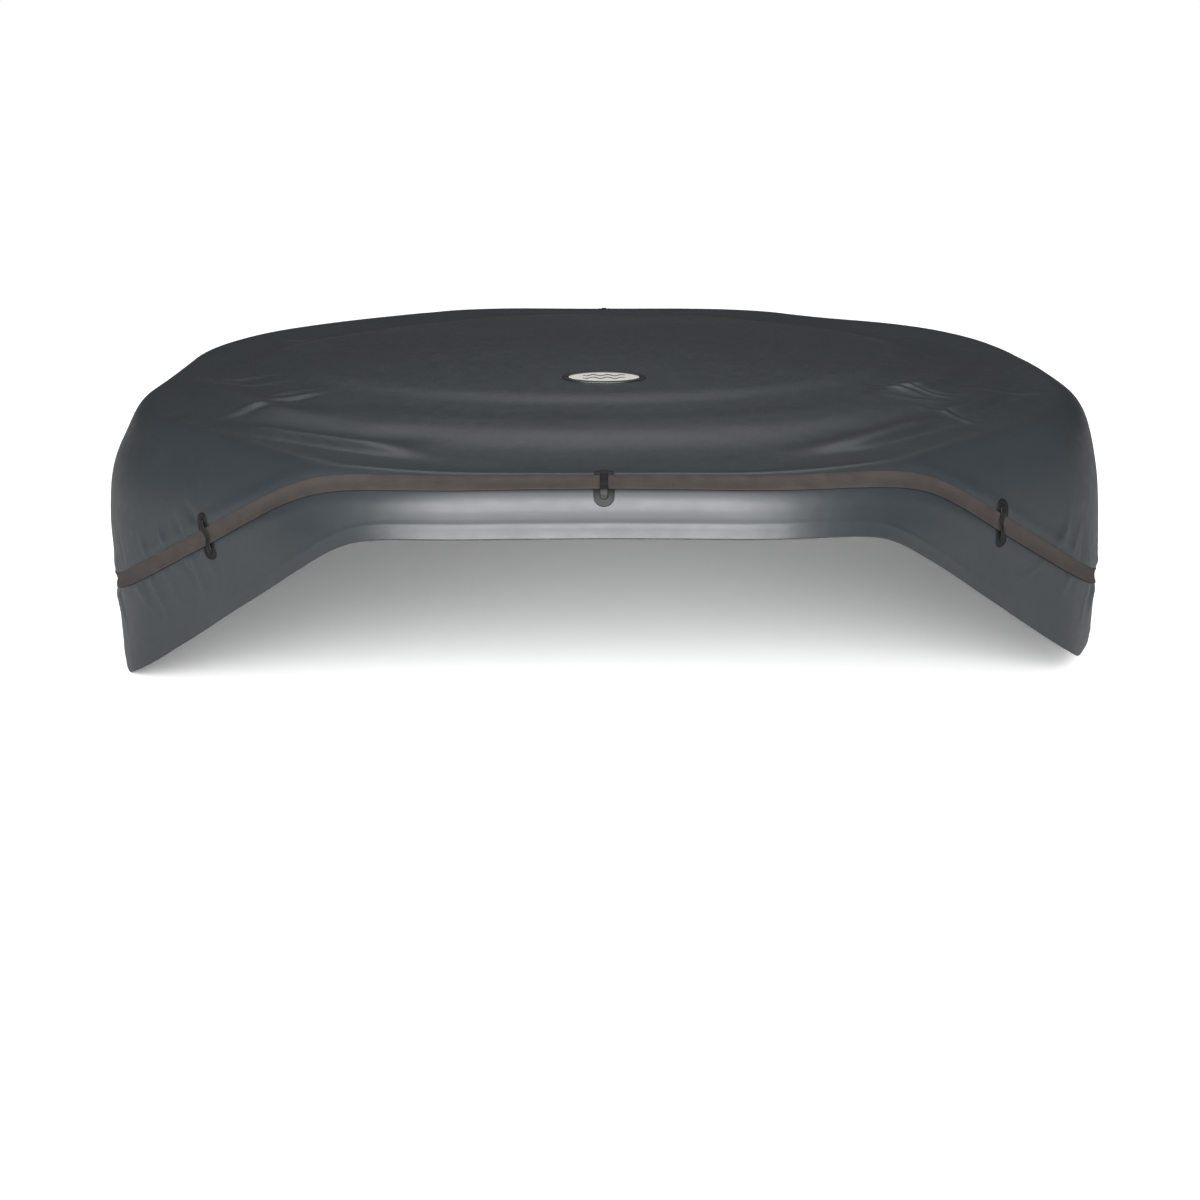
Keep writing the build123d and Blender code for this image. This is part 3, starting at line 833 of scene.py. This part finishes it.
def strap_turn(name, route, body, node):
    """Webbing turned round a buckle's bar, by its middle line in U and W."""
    line, at = smooth_route(route, 150)
    along = np.gradient(line, axis=0)
    along /= np.linalg.norm(along, axis=1, keepdims=True)
    rise = np.stack([-along[:, 1], along[:, 0]], 1)
    grid, uv = [], []
    for across, out in STRAP_PROFILE:
        v = across * STRAP_HALF
        place = line + rise * (out - 0.5) * STRAP_THICK
        grid.append(from_buckle(place[:, 0], np.full(len(at), v), place[:, 1]))
        uv.append(np.stack([at, np.full_like(at, v)], 1))
    points, faces = tube(np.stack(grid, 1))
    uv = np.stack(uv, 1).reshape(-1, 2)
    return make(name, points, faces, BELT, body, [node], uv)


def bar_turn(bar, side, reach=0.0030):
    angles = np.radians(np.arange(0, 181, 15))
    return [(bar[0] + side * reach * math.sin(a), bar[1] - reach * math.cos(a)) for a in angles]


def belt_ends():
    socket = [(0.0590, 0.0018)] + bar_turn((0.062, 0.0047), 1)
    socket += [(0.057, 0.0072), (0.050, 0.0042), (0.045, 0.0036), (0.027, 0.0036)]
    strap_turn("belt_socket_turn", socket, "cover", "belt_socket_end")
    plug = [(0.185, 0.0037), (0.150, 0.0037)] + bar_turn((0.142, 0.0066), -1)
    plug += [(0.148, 0.0092), (0.156, 0.0064), (0.163, 0.0055), (0.185, 0.0055)]
    strap_turn("belt_plug_turn", plug, "buckle_plug", "belt_plug_end")


def stadium(length, width, count):
    """Outline of a rounded bar along Y."""
    angles = np.linspace(0, 2 * math.pi, count, endpoint=False)
    r = width / 2
    x = r * np.cos(angles)
    y = r * np.sin(angles) + np.sign(np.sin(angles)) * (length / 2 - r) * np.minimum(
        1, np.abs(np.sin(angles)) * 2.2
    )
    return x, y


PATCH_LENGTH, PATCH_WIDTH = 0.089, 0.038
BRIDGE_REACH, BRIDGE_HALF = 0.033, 0.0070


def loop_patch(side, turn, run, lean):
    x, y = stadium(PATCH_LENGTH, PATCH_WIDTH, 96)
    c, s = math.cos(lean), math.sin(lean)
    rings = (
        (0.0, 0.0010), (0.3, 0.0010), (0.6, 0.0010), (0.80, 0.0010), (0.86, 0.0008),
        (0.90, 0.0012), (0.96, 0.0012), (0.99, 0.0009), (1.0, 0.0005), (0.985, 0.0001),
        (0.5, 0.0001), (0.0, 0.0001),
    )
    grid = []
    for share, lift in rings:
        share = max(share, 0.02)
        a, b = x * share, y * share
        at = turn_of(float(girth_of(turn)) + a * c - b * s)
        grid.append(surface(at, run + a * s + b * c, lift))
    points, faces = disc(np.stack(grid))
    make(f"loop_patch_{side}_sewn", points, faces, LOOP,
         replaces=[f"loop_patch_{side}"])


def loop_bridge(side, turn, run, lean):
    along = np.linspace(-BRIDGE_REACH, BRIDGE_REACH, 61)
    rise = 0.0010 + 0.0024 * (1 - smooth_step(np.abs(along), 0.0225, 0.0050))
    ends = np.sqrt(np.clip(1 - np.clip((np.abs(along) - 0.0275) / 0.0056, 0, 1) ** 2, 0.02, 1))
    c, s = math.cos(lean), math.sin(lean)
    grid = []
    for across, out in STRAP_PROFILE:
        a = across * BRIDGE_HALF * ends
        at = turn_of(float(girth_of(turn)) + a * c - along * s)
        crown = 0.0004 * (1 - across**2)
        grid.append(surface(at, run + a * s + along * c, rise + 0.0016 * out + crown * out))
    points, faces = tube(np.stack(grid, 1))
    make(f"loop_bridge_{side}_arched", points, faces, LOOP,
         replaces=[f"loop_bridge_{side}"])


def loops():
    for index, side in enumerate(SIDES):
        turn = wrap(index * OCTANT)
        lean = math.radians(-LOOP_LEAN.get(side, 0.0))
        run = float(belt_run(turn)) + (0.007 if side == "back" else 0.0)
        loop_patch(side, turn, run, lean)
        loop_bridge(side, turn, run, lean)


BADGE_Y = -0.354
SURROUND_HALF = (0.084, 0.046)
PLATE_HALF = (0.0708, 0.0348)
WAVE_LENGTH = 0.0287


def on_badge(radius_x, radius_y, lift, angles):
    x = radius_x * np.cos(angles)
    y = BADGE_Y + radius_y * np.sin(angles)
    turn, down = crown_at(x, y)
    return surface(turn, down, lift)


def badge():
    angles = np.linspace(0, 2 * math.pi, 128, endpoint=False)
    rim = (
        (0.0, 0.0002), (0.0, 0.0014), (0.0004, 0.0024), (0.0014, 0.0029), (0.0040, 0.0031),
        (0.0085, 0.0031), (0.0112, 0.0028), (0.0124, 0.0020), (0.0128, 0.0010),
    )
    a, b = SURROUND_HALF
    grid = [on_badge(a - i, b - i * 0.85, lift, angles) for i, lift in rim]
    for k in (0.7, 0.35, 0.03):
        grid.append(on_badge((a - 0.0128) * k, (b - 0.0109) * k, 0.0010, angles))
    grid += [on_badge(a * k, b * k, 0.0002, angles) for k in (0.03, 0.35, 0.7)]
    points, faces = badge_shell(grid)
    make("badge_surround_moulded", points, faces, BADGE,
         replaces=["badge_surround"], sharp=50)
    plate = (
        (0.02, 0.0023), (0.3, 0.0023), (0.6, 0.0022), (0.9, 0.0021), (0.975, 0.0020),
        (1.0, 0.0016), (1.0, 0.0011), (0.6, 0.0011), (0.02, 0.0011),
    )
    grid = [on_badge(PLATE_HALF[0] * k, PLATE_HALF[1] * k, lift, angles) for k, lift in plate]
    points, faces = disc(np.stack(grid))
    make("badge_plate_pressed", points, faces, PLATE, replaces=["badge_plate"],
         sharp=50)
    grids = []
    for y, half in ((0.0105, 0.043), (-0.0105, 0.043)):
        x = np.linspace(-half, half, 90)
        wave = y + 0.0050 * np.sin(x * 2 * math.pi / WAVE_LENGTH)
        thick = 0.0034 * np.sqrt(np.clip(1 - (x / half) ** 4, 0.02, 1))
        ribbon = []
        for across, lift in ((-1, 0.0020), (-0.8, 0.0026), (0, 0.0028), (0.8, 0.0026), (1, 0.0020)):
            turn, down = crown_at(x, BADGE_Y + wave + across * thick)
            ribbon.append(surface(turn, down, lift))
        grids.append(np.stack(ribbon, 1))
    points, faces = tubes(grids)
    make("badge_waves", points, faces, BADGE)


def badge_shell(grid):
    """A closed shell from rings that run over the top and back under it."""
    grid = np.stack(grid)
    rows, cols, _ = grid.shape
    faces = grid_faces(rows, cols, True, True)
    keep = [f for f in faces if not {f[0] // cols, f[2] // cols} == {rows - 4, rows - 3}]
    tip, tail = rows * cols, rows * cols + 1
    top, under = (rows - 4) * cols, (rows - 3) * cols
    keep += [[tip, top + i, top + (i + 1) % cols] for i in range(cols)]
    keep += [[tail, under + (i + 1) % cols, under + i] for i in range(cols)]
    points = np.concatenate([grid.reshape(-1, 3), [grid[rows - 4].mean(0), grid[rows - 3].mean(0)]])
    return points, keep


# ---- underside ----
ZIP_Y, ZIP_HALF = 0.680, 0.420
VALVE_AT = (-0.560, 0.600)
VALVE_HOLE_R = 0.034
SLOT_WIDTH = 0.012
QUILT = 0.24              # pitch of the liner's quilting


def liner_reach(turns):
    """How far out the liner can lie before the slumped skin comes down to it."""
    downs = np.linspace(-0.16, 0.10, 90)
    grid = surface(turns[:, None], downs[None, :], -SKIN - 0.0006)
    clear = grid[..., 2] > LINER_TOP
    last = np.where(clear.all(1), len(downs), (~clear).argmax(1)) - 1
    radius = np.hypot(grid[..., 0], grid[..., 1])[np.arange(len(turns)), np.maximum(last, 0)]
    edge = np.minimum(radius - 0.002, ring_radius(turns, 0.9615, 0.4465))
    lowest = np.min([np.roll(edge, step) for step in range(-9, 10)], axis=0)
    return np.mean([np.roll(lowest, step) for step in range(-7, 8)], axis=0)


def liner():
    turns = np.linspace(-math.pi, math.pi, 360, endpoint=False)
    edge = liner_reach(turns)
    spans = np.concatenate([np.linspace(0.02, 0.84, 62), np.linspace(0.848, 0.9615, 26)])
    under, over = [], []
    for span in spans:
        radius = np.minimum(ring_radius(turns, span, max(span - 0.515, span * 0.3)), edge)
        x, y = radius * np.sin(turns), -radius * np.cos(turns)
        quilt = np.abs(np.sin(x * math.pi / QUILT)) * np.abs(np.sin(y * math.pi / QUILT))
        zip_room = smooth_step(np.hypot(np.maximum(np.abs(x) - 0.46, 0), y - ZIP_Y), 0.055, 0.02)
        valve_room = smooth_step(np.hypot(x - VALVE_AT[0], y - VALVE_AT[1]), 0.070, 0.02)
        border = smooth_step(span, 0.863, 0.003) * (1 - smooth_step(span, 0.944, 0.003))
        stitch = bump(span, 0.872, 0.0016) + bump(span, 0.935, 0.0016)
        field = 1 - smooth_step(span, 0.82, 0.02)
        z = REST_Z + 0.0012 * (1 - quilt**0.45) * zip_room * valve_room * field
        z = z - 0.0029 * border + 0.0009 * stitch
        under.append(np.stack([x, y, z], -1))
        over.append(np.stack([x, y, np.full_like(x, LINER_TOP)], -1))
    points, faces = disc(np.stack(under + over[::-1]))
    obj = make("liner_sheet", points, faces, FOIL, replaces=["liner"])
    cutters = []
    bpy.ops.mesh.primitive_cube_add(size=1, location=(0, ZIP_Y, REST_Z))
    slot = bpy.context.object
    slot.scale = (2 * ZIP_HALF + SLOT_WIDTH, SLOT_WIDTH, 0.04)
    cutters.append(slot)
    bpy.ops.mesh.primitive_cylinder_add(
        vertices=72, radius=VALVE_HOLE_R, depth=0.04, location=(*VALVE_AT, REST_Z))
    cutters.append(bpy.context.object)
    for cutter in cutters:
        cut = obj.modifiers.new("cut", "BOOLEAN")
        cut.operation = "DIFFERENCE"
        cut.solver = "EXACT"
        cut.object = cutter
    graph = bpy.context.evaluated_depsgraph_get()
    cut_mesh = bpy.data.meshes.new_from_object(obj.evaluated_get(graph))
    obj.modifiers.clear()
    old = obj.data
    obj.data = cut_mesh
    bpy.data.meshes.remove(old)
    for cutter in cutters:
        bpy.data.objects.remove(cutter)
    smooth_shade(obj, 40)
    return obj


CUSHION_GAP = -SKIN - 0.0080
CUSHION_FLOOR = 0.5397
BEAM_COUNT, BEAM_PITCH = 5, 0.300
BEAM_REACH, BEAM_HALF = 0.700, 0.0004


def crown_height(x, y, lift=0.0):
    turn, down = crown_at(np.asarray(x, float), np.asarray(y, float))
    return surface(turn, down, lift)[..., 2]


def cushion():
    """The inflated bladder under the crown: its top follows the skin, its floor lies flat."""
    turns = np.linspace(-math.pi, math.pi, 360, endpoint=False)
    downs = np.linspace(-0.30, 0.02, 130)
    grid = surface(turns[:, None], downs[None, :], CUSHION_GAP)
    clear = grid[..., 2] > CUSHION_FLOOR + 0.0024
    last = np.where(clear.all(1), len(downs), (~clear).argmax(1)) - 1
    reach = np.minimum(downs[np.maximum(last, 0)], -0.002) / REACH + 1
    reach = reach - 0.004
    top, floor = [], []
    for share in np.linspace(0.012, 1, 56):
        down = (reach * share - 1) * REACH
        point = surface(turns, down, CUSHION_GAP)
        sink = 0.0006 * np.abs(np.sin(point[:, 0] * math.pi / BEAM_PITCH + math.pi / 2))
        point[:, 2] = np.maximum(point[:, 2] - sink, CUSHION_FLOOR + 0.0006)
        top.append(point)
    for share in np.linspace(0.995, 0.012, 26):
        point = surface(turns, (reach * share - 1) * REACH, CUSHION_GAP)
        point[:, 2] = CUSHION_FLOOR
        floor.append(point)
    points, faces = disc(np.stack(top + floor))
    return make("bladder_cushion", points, faces, BLADDER,
                replaces=["bladder_upper_sheet", "bladder_lower_sheet"])


def bladder_beams():
    """Webs inside the bladder that hold its two sheets level with each other."""
    for index in range(BEAM_COUNT):
        x = (index - BEAM_COUNT // 2) * BEAM_PITCH
        y = np.linspace(-BEAM_REACH, BEAM_REACH, 120)
        high = crown_height(np.full_like(y, x), y, CUSHION_GAP - 0.0012)
        low = np.full_like(y, CUSHION_FLOOR + 0.0008)
        bow = 0.0006 * np.sin(y * 21.0 + index)
        grid = []
        for side, rows in ((-1, (0, 0.33, 0.67, 1)), (1, (1, 0.67, 0.33, 0))):
            for share in rows:
                z = low + (high - low) * share
                middle = x + bow * math.sin(math.pi * share)
                grid.append(np.stack([middle + side * BEAM_HALF, y, z], -1))
        points, faces = tube(np.stack(grid, 1))
        make(f"bladder_web_{index + 1}", points, faces, BLADDER,
             replaces=[f"bladder_beam_{index + 1}"])


TOOTH_PITCH, TOOTH_HALF_GAP, TOOTH_ROW = 0.0026, 0.0006, 0.0019
TAPE_HALF, TAPE_THICK, TAPE_REACH = 0.00575, 0.0008, 0.435


def zip_parts():
    middle = REST_Z - 0.0004
    places = np.arange(-ZIP_HALF + TOOTH_PITCH / 2, ZIP_HALF - 0.0010, TOOTH_PITCH)
    outline = ((-0.00095, 0.55), (-0.00060, 1.0), (0.00060, 1.0), (0.00095, 0.62))
    for name, side in (("front", -1), ("rear", 1)):
        row = ZIP_Y + side * (TOOTH_HALF_GAP + TOOTH_ROW / 2)
        tape = ZIP_Y + side * (TOOTH_HALF_GAP + TOOTH_ROW + TAPE_HALF)
        template = np.array([
            (x * 0.00105 * k, side * y, z * 0.0012 * k)
            for y, k in outline for x, z in ((-1, -0.75), (-0.7, -1), (0.7, -1), (1, -0.75),
                                             (1, 0.75), (0.7, 1), (-0.7, 1), (-1, 0.75))
        ])
        quads = grid_faces(4, 8, False, True) + [list(range(8)), list(range(31, 23, -1))]
        shift = TOOTH_PITCH / 2 if side > 0 else 0
        level = np.full_like(places, middle)
        where = np.stack([places + shift, np.full_like(places, row), level], 1)[:-1]
        points, faces = repeat(template, quads, where)
        make(f"zip_coil_{name}", points, faces, TEETH,
             replaces=[f"zip_teeth_{name}"], sharp=40)
        x = np.linspace(-TAPE_REACH, TAPE_REACH, 220)
        grid, uv = [], []
        for across, out in STRAP_PROFILE:
            w = across * TAPE_HALF
            cockle = 0.00008 * np.sin(x * 90.0 + side) * abs(across)
            z = middle + (out - 0.5) * TAPE_THICK - cockle * (1 if out < 0.5 else 0)
            grid.append(np.stack([x, np.full_like(x, tape + w), np.broadcast_to(z, x.shape)], -1))
            uv.append(np.stack([x, np.full_like(x, w)], 1))
        points, faces = tube(np.stack(grid, 1))
        make(f"zip_webbing_{name}", points, faces, WOVEN,
             replaces=[f"zip_tape_{name}"], uv=np.stack(uv, 1).reshape(-1, 2))


# ---- the frame's own nodes ----
NODE_FINISH = {
    "buckle_socket": (BUCKLE, 0.0007), "buckle_plug": (BUCKLE, 0.0006),
    "buckle_arm_upper": (BUCKLE, 0.0004), "buckle_arm_lower": (BUCKLE, 0.0004),
    "valve_body": (VALVE, 0.0003), "valve_cap": (VALVE, 0.0004), "valve_seal": (RUBBER, 0.00008),
    "zip_slider": (ZIP_METAL, 0.00015), "zip_pull": (ZIP_METAL, 0.0002),
    "zip_end_stops": (ZIP_METAL, 0.0003),
}


def dress_nodes():
    for name, (finish, width) in NODE_FINISH.items():
        node = frame["nodes"][name]
        if not node.material_slots:
            node.data.materials.append(finish.material)
        for material_slot in node.material_slots:
            material_slot.material = finish.material
        bevel = node.modifiers.new("edges", "BEVEL")
        bevel.width = width
        bevel.segments = 2
        bevel.limit_method = "ANGLE"
        bevel.angle_limit = math.radians(40)
        bevel.harden_normals = False


skin = cover_skin()
facing = hem_edge()
strips = corner_seam_strips()
belt()
belt_ends()
loops()
badge()
lining = liner()
bladder = cushion()
bladder_beams()
zip_parts()
dress_nodes()


# ---- studio ----
FLOOR_SIZE, FLOOR_Z = 500, -0.001
FLOOR_GLOW = 0.10         # keeps the far floor as white as the background
FLOOR_MIRRORED = 0.22     # the floor's share of its colour in the vinyl's reflections
CAMERA_TILT = 19.07


def floor():
    bpy.ops.mesh.primitive_plane_add(size=FLOOR_SIZE, location=(0, 0, FLOOR_Z))
    plane = bpy.context.object
    plane.name = "studio_floor"
    paint = Finish("studio_floor", (0.99, 0.99, 0.99), 0.85)
    shade = paint.add("ShaderNodeLightPath").outputs["Is Glossy Ray"]
    paint.mottle(shade, 1.0, FLOOR_MIRRORED)
    paint.shader.inputs["Emission Color"].default_value = (1, 1, 1, 1)
    paint.shader.inputs["Emission Strength"].default_value = FLOOR_GLOW
    plane.data.materials.append(paint.material)


def softbox(name, location, target, size, power):
    light = bpy.data.lights.new(name, "AREA")
    light.shape = "RECTANGLE"
    light.size, light.size_y = size
    light.energy = power
    obj = bpy.data.objects.new(name, light)
    obj.location = location
    aim = Vector(target) - Vector(location)
    obj.rotation_euler = aim.to_track_quat("-Z", "Y").to_euler()
    obj.visible_camera = False
    link(obj)


def overhead_sky(tilt, strength, spread):
    """A very soft sun, tilted from overhead, the same all over the floor."""
    light = bpy.data.lights.new("overhead_sky", "SUN")
    light.energy = strength
    light.angle = math.radians(spread)
    obj = bpy.data.objects.new("overhead_sky", light)
    obj.rotation_euler = [math.radians(angle) for angle in tilt]
    link(obj)


def world(seen, felt, mirrored):
    """White behind the object, soft grey as light, and darker in the vinyl's reflections."""
    shell = bpy.data.worlds.new("studio")
    bpy.context.scene.world = shell
    shell.use_nodes = True
    tree = shell.node_tree
    tree.nodes.clear()
    out = tree.nodes.new("ShaderNodeOutputWorld")
    path = tree.nodes.new("ShaderNodeLightPath")
    shader = None
    for strength, ray in ((felt, None), (mirrored, "Is Glossy Ray"), (seen, "Is Camera Ray")):
        background = tree.nodes.new("ShaderNodeBackground")
        background.inputs["Strength"].default_value = strength
        background.inputs["Color"].default_value = (1, 1, 1, 1)
        if ray is None:
            shader = background
            continue
        mix = tree.nodes.new("ShaderNodeMixShader")
        tree.links.new(path.outputs[ray], mix.inputs[0])
        tree.links.new(shader.outputs[0], mix.inputs[1])
        tree.links.new(background.outputs[0], mix.inputs[2])
        shader = mix
    tree.links.new(shader.outputs[0], out.inputs["Surface"])


def camera():
    data = bpy.data.cameras.new("camera")
    data.sensor_width = 36.0
    data.lens = 45.39
    data.shift_x = -0.0033
    obj = bpy.data.objects.new("camera", data)
    obj.location = (0.0, -3.367, 1.162)
    obj.rotation_euler = (math.radians(90 - CAMERA_TILT), 0, 0)
    link(obj)
    bpy.context.scene.camera = obj


floor()
overhead_sky((38.0, 0.0, 3.0), 3.0, 55.0)
softbox("behind", (0.0, 1.9, 3.2), (0, -0.5, 0.4), (3.4, 1.2), 22)
softbox("front", (-0.3, -5.4, 2.3), (0, -0.6, 0.5), (6.6, 2.5), 600)
softbox("front_left", (-3.0, -3.4, 2.2), (0, 0, 0.3), (2.0, 1.6), 12)
world(1.0, 0.26, 0.05)
camera()
bpy.context.scene.view_settings.view_transform = "Standard"
